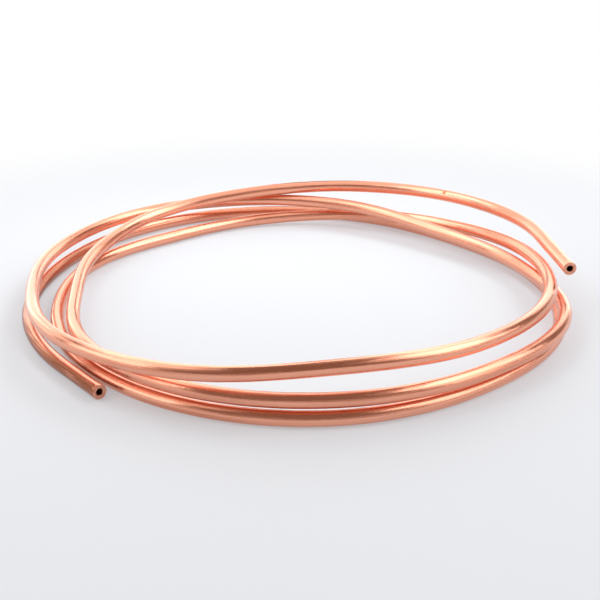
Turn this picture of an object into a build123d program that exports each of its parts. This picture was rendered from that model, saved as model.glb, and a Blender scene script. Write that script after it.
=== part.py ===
from build123d import *
from math import cos, radians, sin
import os

# Loose coil of thick-walled copper tube, lying on the floor with both cut ends free.
# Millimetres. X runs across the coil, Y to its back, Z up; the lowest turn rests on Z = 0.

# The tube
TUBE_OD = 4.0
TUBE_BORE = 2.0
LOWER_END_RUN = 19.0
UPPER_END_RUN = 26.5
END_EDGE = 0.15

# The coil, measured on the tube's centre line
COIL_RADIUS = 72.0
TURN_CLEARANCE = 0.3
START_ANGLE = 220.0
STATION_ANGLE = 30.0
ARCS_PER_STATION = 2

# The lay of the tube, station by station, from the outer lower end to the upper one, clockwise from above.
# Each pair is the step out from the coil radius and the lift off the floor, in pitches of the tube.
# The first and last pairs lie one station beyond the coiled length and only set which way its ends point.
LAY_SHARES = [
    # Aims the lower end.
    (1.3, 0.0),
    # First turn: flat on the floor, out at the left, in at the back right, out again in front.
    (1.3, 0.0), (1.4, 0.0), (1.35, 0.0), (1.5, 0.0), (1.35, 0.0), (0.75, 0.0), (0.35, 0.0), (1.5, 0.0), (2.15, 0.0),
    (1.6, 0.0), (1.45, 0.0), (0.9, 0.0), (0.05, 0.0),
    # Second turn: drops inside the first, climbs over it at the back, then arches over the front.
    (-0.55, 0.0), (-0.8, 0.0), (-1.75, 0.0), (-1.05, 0.1), (-0.5, 0.6), (0.1, 1.2), (0.95, 1.85), (1.3, 2.15),
    (0.95, 2.5), (0.7, 2.8), (1.3, 2.4), (1.5, 2.05),
    # Third turn: outermost at the left, slips inside at the back, then runs on the first turn.
    (1.05, 1.45), (1.9, 1.1), (2.2, 1.1), (-0.2, 1.4), (-1.4, 1.65), (-1.5, 1.1), (0.3, 0.92), (2.45, 1.05),
    (1.8, 1.05), (1.3, 1.05), (0.45, 1.05), (-0.5, 1.05),
    # Last turn: innermost at the left, climbs over everything at the back and springs outward.
    (-1.85, 1.05), (-1.25, 1.15), (-0.4, 1.75), (-0.8, 2.5), (0.5, 2.8), (1.7, 3.0), (1.9, 3.05),
    # Aims the upper end.
    (0.5, 2.6),
]

PITCH = TUBE_OD + TURN_CLEARANCE
STATIONS = len(LAY_SHARES) - 2


def lay_at(station):
    """Side and lift of the tube's centre line at a station, whole or between two, and their rates."""
    first = min(int(station), STATIONS - 2)
    part = station - first
    values = []
    for axis in (0, 1):
        before, here, there, after = [pair[axis] for pair in LAY_SHARES[first : first + 4]]
        rise = there - here
        bend_in = (there - before) / 2 - rise
        bend_out = rise - (after - here) / 2
        bend = bend_in * (1 - part) + bend_out * part
        share = here + part * rise + part * (1 - part) * bend
        rate = rise + (1 - 2 * part) * bend + part * (1 - part) * (bend_out - bend_in)
        values += [share * PITCH, rate * PITCH]
    return values


def point_at(station):
    """Point on the centre line and the tube's direction there."""
    side, side_rate, lift, lift_rate = lay_at(station)
    angle = radians(START_ANGLE - station * STATION_ANGLE)
    turn_rate = -radians(STATION_ANGLE)
    radius = COIL_RADIUS + side
    place = Vector(radius * cos(angle), radius * sin(angle), TUBE_OD / 2 + lift)
    along = Vector(
        side_rate * cos(angle) - radius * sin(angle) * turn_rate,
        side_rate * sin(angle) + radius * cos(angle) * turn_rate,
        lift_rate,
    )
    return place, along.normalized()


def tangent_arcs(start, start_way, end, end_way):
    """Two arcs that meet smoothly and leave and arrive in the given directions."""
    gap = end - start
    ways = start_way + end_way
    spread = 2 * (1 - start_way.dot(end_way))
    pull = gap.dot(ways)
    reach = gap.dot(gap) / (pull + (pull * pull + spread * gap.dot(gap)) ** 0.5)
    corner_in = start + start_way * reach
    corner_out = end - end_way * reach
    middle = (corner_in + corner_out) / 2
    return [
        Edge.make_tangent_arc(start, start_way, middle),
        Edge.make_tangent_arc(middle, corner_out - corner_in, end),
    ]


# The centre line: tangent arcs from station to station.
steps = (STATIONS - 1) * ARCS_PER_STATION
knots = [point_at(step / ARCS_PER_STATION) for step in range(steps + 1)]
arcs = []
for (start, start_way), (end, end_way) in zip(knots, knots[1:]):
    arcs += tangent_arcs(start, start_way, end, end_way)
centre_line = Wire(arcs)

# The tube: a ring swept along the centre line, with a straight cut stretch at each end.
first_place, first_way = knots[0]
last_place, last_way = knots[-1]
ring = Plane(first_place, z_dir=first_way) * (Circle(TUBE_OD / 2) - Circle(TUBE_BORE / 2))
copper_tube = sweep(ring, path=centre_line)
ends = []
for place, way, run in ((first_place, -first_way, LOWER_END_RUN), (last_place, last_way, UPPER_END_RUN)):
    stretch = Cylinder(TUBE_OD / 2, run, align=(Align.CENTER, Align.CENTER, Align.MIN))
    rim = stretch.edges().filter_by(GeomType.CIRCLE).sort_by(Axis.Z)[-1]
    stretch = chamfer(rim, END_EDGE)
    stretch -= Cylinder(TUBE_BORE / 2, run, align=(Align.CENTER, Align.CENTER, Align.MIN))
    ends.append(Plane(place, z_dir=way) * stretch)
copper_tube = copper_tube + ends

# Stored over the middle of its own outline.
box = copper_tube.bounding_box()
stored = Pos(-box.center().X, -box.center().Y, -box.min.Z)
copper_tube = stored * copper_tube

os.makedirs("parts", exist_ok=True)
export_step(copper_tube, "parts/copper_tube.step")

# What the record states: the tube's length, the metal in it, and where each cut end is.
length = centre_line.length + LOWER_END_RUN + UPPER_END_RUN
section = Circle(TUBE_OD / 2).area - Circle(TUBE_BORE / 2).area
print("length", round(length, 1), "volume", round(copper_tube.volume, 1), "section x length", round(section * length, 1))
lower_face = first_place - first_way * LOWER_END_RUN
upper_face = last_place + last_way * UPPER_END_RUN
for name, face, way in (("lower end", lower_face, -first_way), ("upper end", upper_face, last_way)):
    print(name, "cut face", (stored * Pos(face)).position, "facing", way)
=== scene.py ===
from math import pi, radians

import bpy
import numpy as np
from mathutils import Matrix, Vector


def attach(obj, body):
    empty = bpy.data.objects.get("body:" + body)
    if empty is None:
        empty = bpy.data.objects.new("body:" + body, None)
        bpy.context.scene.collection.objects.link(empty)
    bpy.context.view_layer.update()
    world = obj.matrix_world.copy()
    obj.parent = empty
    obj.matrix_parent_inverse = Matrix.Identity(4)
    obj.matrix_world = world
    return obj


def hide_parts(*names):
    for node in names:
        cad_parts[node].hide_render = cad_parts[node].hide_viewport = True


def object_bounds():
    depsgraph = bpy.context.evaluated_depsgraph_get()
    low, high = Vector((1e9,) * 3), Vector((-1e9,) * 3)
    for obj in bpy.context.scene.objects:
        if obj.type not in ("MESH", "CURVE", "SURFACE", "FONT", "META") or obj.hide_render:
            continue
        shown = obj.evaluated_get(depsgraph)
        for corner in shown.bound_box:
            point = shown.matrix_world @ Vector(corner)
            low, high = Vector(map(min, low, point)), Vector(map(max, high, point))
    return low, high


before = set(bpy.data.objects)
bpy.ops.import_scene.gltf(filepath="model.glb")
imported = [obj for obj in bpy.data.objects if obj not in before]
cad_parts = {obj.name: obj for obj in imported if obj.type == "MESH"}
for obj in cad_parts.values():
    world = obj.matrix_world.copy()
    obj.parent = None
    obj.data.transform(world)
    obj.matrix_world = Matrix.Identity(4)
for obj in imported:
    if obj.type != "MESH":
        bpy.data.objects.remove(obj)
cad_low, cad_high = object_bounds()


# The copper tube
# One length of thick-walled copper tube, drawn bright through a die and coiled by hand.
# Three and a half loose turns lie on each other by their own stiffness, and both ends are sawn square.
TUBE_OD = 0.004
TUBE_BORE = 0.002
LOWER_END_RUN = 0.019
UPPER_END_RUN = 0.0265
COIL_RADIUS = 0.072
TURN_CLEARANCE = 0.0003
PITCH = TUBE_OD + TURN_CLEARANCE
START_ANGLE = 220.0
STATION_ANGLE = 30.0

# Step out from the coil radius and lift off the floor at each station, in pitches of the tube.
LAY_SHARES = np.array([
    # Aims the lower end.
    (1.3, 0.0),
    # First turn: flat on the floor, out at the left, in at the back right, out again in front.
    (1.3, 0.0), (1.4, 0.0), (1.35, 0.0), (1.5, 0.0), (1.35, 0.0), (0.75, 0.0), (0.35, 0.0),
    (1.5, 0.0), (2.15, 0.0), (1.6, 0.0), (1.45, 0.0), (0.8, 0.0), (0.05, 0.0),
    # Second turn: drops inside the first, climbs over it at the back, then arches over the front.
    (-0.55, 0.0), (-0.8, 0.0), (-1.75, 0.0), (-1.05, 0.1), (-0.5, 0.6), (0.1, 1.2), (0.95, 1.85), (1.3, 2.15),
    (0.95, 2.5), (0.7, 2.8), (1.3, 2.4), (1.5, 2.05),
    # Third turn: outermost at the left, slips inside at the back, then runs on the first turn.
    (1.05, 1.45), (1.9, 1.1), (2.2, 1.1), (-0.2, 1.57), (-1.4, 1.6), (-1.5, 1.1), (0.3, 0.92), (2.45, 1.05),
    (1.8, 1.05), (1.3, 1.05), (0.7, 1.05), (-0.3, 1.05),
    # Last turn: innermost at the left, climbs over everything at the back and springs outward.
    (-1.85, 1.05), (-1.25, 1.15), (-0.4, 1.75), (-0.8, 2.5), (0.5, 2.8), (1.7, 3.0), (1.9, 3.05),
    # Aims the upper end.
    (0.5, 2.6),
])
STATIONS = len(LAY_SHARES) - 2


def coil_points(stations):
    """Points on the centre line at the given stations, whole or between two, and the tube's way there."""
    first = np.minimum(stations.astype(int), STATIONS - 2)
    part = (stations - first)[:, None]
    before, here, there, after = (LAY_SHARES[first + k] for k in range(4))
    rise = there - here
    bend_in = (there - before) / 2 - rise
    bend_out = rise - (after - here) / 2
    bend = bend_in * (1 - part) + bend_out * part
    side, lift = (PITCH * (here + part * rise + part * (1 - part) * bend)).T
    rate = rise + (1 - 2 * part) * bend + part * (1 - part) * (bend_out - bend_in)
    side_rate, lift_rate = (PITCH * rate).T
    angle = np.radians(START_ANGLE - stations * STATION_ANGLE)
    turn_rate = -radians(STATION_ANGLE)
    radius = COIL_RADIUS + side
    outward = np.column_stack([np.cos(angle), np.sin(angle), np.zeros_like(angle)])
    onward = np.column_stack([-np.sin(angle), np.cos(angle), np.zeros_like(angle)])
    upward = np.array([0.0, 0.0, 1.0])
    points = radius[:, None] * outward + (TUBE_OD / 2 + lift)[:, None] * upward
    ways = side_rate[:, None] * outward + (radius * turn_rate)[:, None] * onward + lift_rate[:, None] * upward
    return points, ways / np.linalg.norm(ways, axis=1)[:, None]


# The centre line: the coiled part, and a straight run on to each cut face.
RINGS_PER_STATION = 30
STEP_ON_ENDS = 0.001
coiled, coiled_ways = coil_points(np.linspace(0, STATIONS - 1, (STATIONS - 1) * RINGS_PER_STATION + 1))
lower_steps = np.linspace(LOWER_END_RUN, 0, int(LOWER_END_RUN / STEP_ON_ENDS) + 1)[:-1, None]
upper_steps = np.linspace(0, UPPER_END_RUN, int(UPPER_END_RUN / STEP_ON_ENDS) + 1)[1:, None]
lower_run = coiled[0] - lower_steps * coiled_ways[0]
upper_run = coiled[-1] + upper_steps * coiled_ways[-1]
line = np.concatenate([lower_run, coiled, upper_run])
ways = np.concatenate([
    np.repeat(coiled_ways[:1], len(lower_run), axis=0),
    coiled_ways,
    np.repeat(coiled_ways[-1:], len(upper_run), axis=0),
])
along = np.concatenate([[0], np.cumsum(np.linalg.norm(np.diff(line, axis=0), axis=1))])

# Each ring's own upright, carried along the tube without twist.
uprights = [np.array([0.0, 0.0, 1.0])]
for way in ways[1:]:
    upright = uprights[-1] - way * uprights[-1].dot(way)
    uprights.append(upright / np.linalg.norm(upright))
uprights = np.array(uprights)
sideways = np.cross(ways, uprights)

# The wall is a little out of round and uneven, as tube coiled by hand is.
SIDES = 48
OVAL_SHARE = 0.012
OVAL_TURN = 5.0
OVAL_RATE = 31.0
WAVE_SHARE = 0.006
WAVE_RATE = 410.0
WAVE_DRIFT = 2.3
DRIFT_RATE = 173.0
around = np.linspace(0, 2 * pi, SIDES, endpoint=False)


def wall_radius(place, angle):
    """Outer radius of the tube at a distance along it and an angle around it."""
    oval = OVAL_SHARE * np.cos(2 * angle + OVAL_TURN * np.sin(place * OVAL_RATE))
    drift = WAVE_DRIFT * np.sin(place * DRIFT_RATE)
    wave = WAVE_SHARE * np.sin(place * WAVE_RATE + drift + angle)
    return TUBE_OD / 2 * (1 + oval + wave)


rings = []
marks = []
finishes = []
DRAWN, SAWN, INSIDE = 0, 1, 2


def add_ring(index, radius, depth, finish):
    """One ring of points square to the tube, at a point of the line plus a depth along it."""
    centre = line[index] + ways[index] * depth
    across = np.cos(around)[:, None] * uprights[index] + np.sin(around)[:, None] * sideways[index]
    radii = np.broadcast_to(radius, around.shape)
    rings.append(centre + across * radii[:, None])
    share = radii / (TUBE_OD / 2)
    distance = np.full(SIDES, along[index] + depth)
    marks.append(np.column_stack([distance, np.cos(around) * share, np.sin(around) * share]))
    finishes.append(finish)


# The rings in order: along the wall, over the upper face, back through the bore and over the lower face.
# The saw leaves the outer rim slightly broken and a burr on the bore.
RIM = 0.00015
RIM_STEP = RIM * 0.3
BURR = 0.00006
FACE_RINGS = 5
BORE_STRIDE = 4
last = len(line) - 1
face_radii = np.linspace(TUBE_OD / 2 - RIM, TUBE_BORE / 2 + RIM, FACE_RINGS)
for index, distance in enumerate(along):
    radius = wall_radius(distance, around)
    if index == 0:
        add_ring(index, radius - RIM_STEP, RIM_STEP, DRAWN)
        add_ring(index, radius, RIM, DRAWN)
    elif index == last:
        add_ring(index, radius, -RIM, DRAWN)
        add_ring(index, radius - RIM_STEP, -RIM_STEP, SAWN)
    else:
        add_ring(index, radius, 0, DRAWN)
for radius in face_radii:
    add_ring(last, radius, 0, SAWN)
add_ring(last, TUBE_BORE / 2 - BURR, -RIM, INSIDE)
for index in range(last - 1, 0, -BORE_STRIDE):
    add_ring(index, TUBE_BORE / 2, 0, INSIDE)
add_ring(0, TUBE_BORE / 2 - BURR, RIM, SAWN)
for radius in face_radii[::-1]:
    add_ring(0, radius, 0, SAWN)

points = np.concatenate(rings)
ring_of = np.arange(len(rings))[:, None] * SIDES
next_ring = np.roll(ring_of, -1, axis=0)
column = np.arange(SIDES)[None, :]
next_column = (column + 1) % SIDES
corners = [ring_of + column, ring_of + next_column, next_ring + next_column, next_ring + column]
quads = np.stack(corners, axis=-1)

# Laid down where the solid lies: over the middle of its outline, on the floor.
low = points.min(axis=0)
high = points.max(axis=0)
shift = np.array([*((cad_low + cad_high) / 2 - Vector((low + high) / 2))[:2], cad_low[2] - low[2]])
mesh = bpy.data.meshes.new("tube")
mesh.from_pydata((points + shift).tolist(), [], quads.reshape(-1, 4).tolist())
mesh.polygons.foreach_set("use_smooth", np.ones(len(mesh.polygons), bool))
mesh.polygons.foreach_set("material_index", np.repeat(finishes, SIDES))
mark = mesh.attributes.new("drawn_along", "FLOAT_VECTOR", "POINT")
mark.data.foreach_set("vector", np.concatenate(marks).astype(np.float32).ravel())
tube = bpy.data.objects.new("tube", mesh)
bpy.context.scene.collection.objects.link(tube)


class Shade:
    """A socket in a material. Arithmetic on it adds Math nodes, and node() adds any other node."""

    def __init__(self, tree, socket=None):
        self.tree = tree
        self.socket = socket

    def node(self, kind, settings=None, sockets=None, output=0):
        """Add a node, set it up, give its sockets their values or links, and return one of its outputs."""
        made = self.tree.nodes.new(kind)
        for name, value in (settings or {}).items():
            setattr(made, name, value)
        for name, value in (sockets or {}).items():
            if isinstance(value, Shade):
                self.tree.links.new(value.socket, made.inputs[name])
            else:
                made.inputs[name].default_value = value
        return Shade(self.tree, None if output is None else made.outputs[output])

    def maths(self, operation, first, second):
        return self.node("ShaderNodeMath", {"operation": operation}, {0: first, 1: second})

    def __add__(self, other):
        return self.maths("ADD", self, other)

    def __radd__(self, other):
        return self.maths("ADD", other, self)

    def __sub__(self, other):
        return self.maths("SUBTRACT", self, other)

    def __rsub__(self, other):
        return self.maths("SUBTRACT", other, self)

    def __mul__(self, other):
        return self.maths("MULTIPLY", self, other)

    def __rmul__(self, other):
        return self.maths("MULTIPLY", other, self)

    def between(self, low, high):
        """The share of the way from low to high, eased and kept within 0 and 1."""
        sockets = {"Value": self, "From Min": low, "From Max": high}
        return self.node("ShaderNodeMapRange", {"interpolation_type": "SMOOTHSTEP"}, sockets)

    def stretched(self, scales, detail=2.0):
        """Noise on this vector, with its own scale along and across the tube."""
        spread = self.node("ShaderNodeVectorMath", {"operation": "MULTIPLY"}, {0: self, 1: scales})
        return self.node("ShaderNodeTexNoise", None, {"Vector": spread, "Scale": 1.0, "Detail": detail})

    def tint(self, plain, other):
        """A colour that goes from one to the other with this share."""
        return self.node("ShaderNodeMix", {"data_type": "RGBA"}, {0: self, 6: plain, 7: other}, 2)


QUARTER_TURN = 0.25


def copper_material(name, colour, roughness, height, bump_depth, metal, brushed, start):
    """A copper finish from its colour, gloss and relief, how bare the metal is and how far it is brushed."""
    normal = start.node("ShaderNodeBump", None, {"Strength": 1.0, "Distance": bump_depth, "Height": height})
    sockets = {"Base Color": colour, "Metallic": metal, "Roughness": roughness, "Normal": normal}
    sockets.update({"Anisotropic": brushed, "Anisotropic Rotation": QUARTER_TURN})
    surface = start.node("ShaderNodeBsdfPrincipled", None, sockets)
    start.node("ShaderNodeOutputMaterial", None, {"Surface": surface}, None)
    mesh.materials.append(bpy.data.materials[name])


def new_finish(name):
    """An empty material and the start of its nodes."""
    material = bpy.data.materials.new(name)
    material.use_nodes = True
    material.node_tree.nodes.clear()
    return Shade(material.node_tree)


# The drawn wall: lines from the die, paler and redder streaks along the tube, painted brown shade on the
# lower end, left off along its top where the highlight falls, and one small nick in the last turn, where the
# tube was caught, with painted shade darkening its dent.
BRIGHT_COPPER = (0.875, 0.395, 0.265, 1.0)
RED_COPPER = (0.75, 0.305, 0.195, 1.0)
PALE_COPPER = (0.92, 0.45, 0.32, 1.0)
# Painted shade: a dark brown laid over the lower end and into the nick.
PAINTED_SHADE_BROWN = (0.34, 0.12, 0.063, 1.0)
SHADED_END_LENGTH = 0.07
DRAWN_RELIEF = 0.00006
DRAWN_BRUSHED = 0.8
NICK_STATION = 41.8
NICK_ANGLE = radians(30)
NICK_SPREAD = (1500.0, 1.5, 1.5)
start = new_finish("drawn_copper")
place = start.node("ShaderNodeAttribute", {"attribute_name": "drawn_along"}, None, "Vector")
die_lines = place.stretched((18.0, 16.0, 16.0), 3.0)
draw_marks = place.stretched((60.0, 3.5, 3.5), 2.0)
streaks = place.stretched((30.0, 2.6, 2.6), 3.0)
lengths = place.stretched((26.0, 0.7, 0.7), 2.0)
grain = place.stretched((900.0, 9.0, 9.0), 3.0)
red = streaks.between(0.48, 0.68)
pale = lengths.between(0.5, 0.75)
from_end = start.node("ShaderNodeSeparateXYZ", None, {0: place}, "X")
topside = start.node("ShaderNodeSeparateXYZ", None, {0: place}, "Y")
# Painted shade on the lower end, kept off the top of the tube, where the highlight falls.
highlight_top = topside.between(0.86, 0.98)
near_end = 1 - from_end.between(SHADED_END_LENGTH, 2 * SHADED_END_LENGTH)
end_shade = near_end * draw_marks.between(0.2, 0.5) * (1 - highlight_top)
nick_ring = len(lower_run) + int(NICK_STATION * RINGS_PER_STATION)
nick_place = (along[nick_ring], np.cos(NICK_ANGLE), np.sin(NICK_ANGLE))
off_nick = start.node("ShaderNodeVectorMath", {"operation": "SUBTRACT"}, {0: place, 1: nick_place})
off_nick = start.node("ShaderNodeVectorMath", {"operation": "MULTIPLY"}, {0: off_nick, 1: NICK_SPREAD})
nick_gap = start.node("ShaderNodeVectorMath", {"operation": "LENGTH"}, {0: off_nick}, "Value")
# The nick is a dent in the relief, and is also painted darker with shade inside it.
nick_and_shade = 1 - nick_gap.between(0.2, 1.0)
colour = (red * 0.9).tint(BRIGHT_COPPER, RED_COPPER)
colour = (pale * 0.5).tint(colour, PALE_COPPER)
# Painted shade: brown over the lower end, then in the nick.
colour = end_shade.tint(colour, PAINTED_SHADE_BROWN)
colour = (nick_and_shade * 0.8).tint(colour, PAINTED_SHADE_BROWN)
gloss = 0.13 + die_lines * 0.13 + red * 0.10 + grain * 0.04
relief = draw_marks + die_lines * 0.4 + grain * 0.1 - nick_and_shade * 2.0
copper_material("drawn_copper", colour, gloss, relief, DRAWN_RELIEF, 1.0, DRAWN_BRUSHED, start)

# The sawn faces: matt, pinker metal with straight marks across it.
SAWN_COPPER = (0.90, 0.46, 0.32, 1.0)
SAWN_RELIEF = 0.00006
SAWN_METAL = 0.55
start = new_finish("sawn_copper")
place = start.node("ShaderNodeAttribute", {"attribute_name": "drawn_along"}, None, "Vector")
saw_marks = place.stretched((0.0, 3.0, 22.0), 2.0)
bruises = place.stretched((0.0, 3.0, 3.0), 3.0)
colour = bruises.between(0.4, 0.7).tint(SAWN_COPPER, RED_COPPER)
gloss = 0.3 + saw_marks * 0.25
copper_material("sawn_copper", colour, gloss, saw_marks, SAWN_RELIEF, SAWN_METAL, 0.0, start)

# The bore: dull and dark with the oxide that is left from annealing.
DULL_COPPER = (0.22, 0.09, 0.05, 1.0)
OXIDE = (0.05, 0.025, 0.018, 1.0)
OXIDE_RELIEF = 0.00003
OXIDE_METAL = 0.6
start = new_finish("bore_oxide")
place = start.node("ShaderNodeAttribute", {"attribute_name": "drawn_along"}, None, "Vector")
scale = place.stretched((300.0, 3.0, 3.0), 3.0)
colour = scale.between(0.35, 0.6).tint(DULL_COPPER, OXIDE)
gloss = 0.5 + scale * 0.3
copper_material("bore_oxide", colour, gloss, scale, OXIDE_RELIEF, OXIDE_METAL, 0.0, start)

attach(tube, "root")
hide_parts("copper_tube")


# The floor
# A round white table that turns up at its edge, so that it fills the picture behind the coil. It is matt
# and shows the coil's shadow, and away from the coil it fades to plain white, soonest at the back.
TABLE_RADIUS = 2.0
EDGE_HEIGHT = 0.3
NEAR_WHITE = (0.88, 0.90, 0.945, 1.0)
PLAIN_WHITE = (1.0, 1.0, 1.0, 1.0)
MATT_WHITE = (0.745, 0.80, 0.85, 1.0)
FADE_MIDDLE = (0.0, -0.04, 0.0)
FADE_START = 0.13
FADE_END = 0.25
NEAR_GLOW = 0.4
EDGE_SIDES = 96
turn = np.linspace(0, 2 * pi, EDGE_SIDES, endpoint=False)
foot = np.column_stack([TABLE_RADIUS * np.cos(turn), TABLE_RADIUS * np.sin(turn), np.zeros(EDGE_SIDES)])
table_points = np.concatenate([foot, foot + (0, 0, EDGE_HEIGHT)]).tolist()
table_faces = [tuple(range(EDGE_SIDES))]
for side in range(EDGE_SIDES):
    beside = (side + 1) % EDGE_SIDES
    table_faces.append((side, beside, beside + EDGE_SIDES, side + EDGE_SIDES))
table_mesh = bpy.data.meshes.new("table")
table_mesh.from_pydata(table_points, [], table_faces)
table = bpy.data.objects.new("table", table_mesh)
bpy.context.scene.collection.objects.link(table)
start = new_finish("white_table")
spot = start.node("ShaderNodeNewGeometry", None, None, "Position")
span = {0: spot, 1: FADE_MIDDLE}
from_coil = start.node("ShaderNodeVectorMath", {"operation": "DISTANCE"}, span, "Value")
far = from_coil.between(FADE_START, FADE_END)
seen = start.node("ShaderNodeLightPath", None, None, "Is Camera Ray")
seen = seen + start.node("ShaderNodeLightPath", None, None, "Is Glossy Ray")
seen = seen + start.node("ShaderNodeLightPath", None, None, "Is Transmission Ray")
matt = start.node("ShaderNodeBsdfDiffuse", None, {"Color": MATT_WHITE})
glow = start.node("ShaderNodeEmission", None, {"Color": far.tint(NEAR_WHITE, PLAIN_WHITE), "Strength": 1.0})
share = seen * (NEAR_GLOW + far * (1 - NEAR_GLOW))
surface = start.node("ShaderNodeMixShader", None, {0: share, 1: matt, 2: glow})
start.node("ShaderNodeOutputMaterial", None, {"Surface": surface}, None)
table_mesh.materials.append(bpy.data.materials["white_table"])


# The light
# A dim, warm room. Soft panels stand to the left, the right and the back, with nothing in front and a gap
# low behind the middle, so that the front turns keep their dark streaks. A small strip hangs low over the
# turns at the back.
ROOM_DIM = (0.27, 0.195, 0.155, 1.0)
world = bpy.data.worlds.new("room")
world.use_nodes = True
bpy.context.scene.world = world
room = world.node_tree.nodes["Background"]
room.inputs["Color"].default_value = ROOM_DIM
room.inputs["Strength"].default_value = 1.0


def soft_panel(name, place, aim, width, height, brightness):
    """A lit panel of the given size. Brightness 1 looks as bright as a white table in plain light."""
    lamp = bpy.data.lights.new(name, "AREA")
    lamp.shape = "RECTANGLE"
    lamp.size = width
    lamp.size_y = height
    lamp.energy = brightness * pi * width * height
    panel = bpy.data.objects.new(name, lamp)
    panel.location = place
    panel.rotation_euler = (Vector(aim) - Vector(place)).to_track_quat("-Z", "Y").to_euler()
    panel.visible_camera = False
    bpy.context.scene.collection.objects.link(panel)


soft_panel("left_high_panel", (-0.27, 0.05, 0.44), (0, 0.02, 0), 0.50, 0.22, 1.7)
soft_panel("left_low_panel", (-0.43, -0.13, 0.24), (0, -0.06, 0), 0.36, 0.22, 2.1)
soft_panel("left_back_panel", (-0.43, 0.25, 0.18), (0, 0.05, 0), 0.34, 0.28, 1.1)
soft_panel("right_panel", (0.38, -0.10, 0.34), (0, -0.10, 0), 0.38, 0.40, 2.4)
soft_panel("right_high_panel", (0.30, 0.18, 0.46), (0, 0.04, 0), 0.32, 0.20, 2.2)
soft_panel("back_left_panel", (-0.43, 0.80, 0.30), (-0.43, 0, 0.30), 0.76, 0.60, 1.6)
soft_panel("back_right_panel", (0.38, 0.80, 0.30), (0.38, 0, 0.30), 0.64, 0.60, 1.7)
soft_panel("back_high_panel", (0, 0.27, 0.33), (0, 0.05, 0), 0.50, 0.20, 1.2)
soft_panel("back_strip", (-0.01, 0.045, 0.09), (-0.01, 0.045, 0), 0.17, 0.09, 0.9)


# The camera
# A short portrait lens in front of the coil, looking down on it.
CAMERA_PLACE = (0.00316, -0.29704, 0.12836)
CAMERA_DROP = 23.49
LENS = 63.0
SENSOR = 36.0
NEAREST_SEEN = 0.01
camera_data = bpy.data.cameras.new("camera")
camera_data.lens = LENS
camera_data.sensor_width = SENSOR
camera_data.clip_start = NEAREST_SEEN
camera = bpy.data.objects.new("camera", camera_data)
camera.location = Vector(CAMERA_PLACE) + Vector(shift)
camera.rotation_euler = (radians(90 - CAMERA_DROP), 0, 0)
bpy.context.scene.collection.objects.link(camera)
bpy.context.scene.camera = camera
bpy.context.scene.view_settings.view_transform = "Standard"
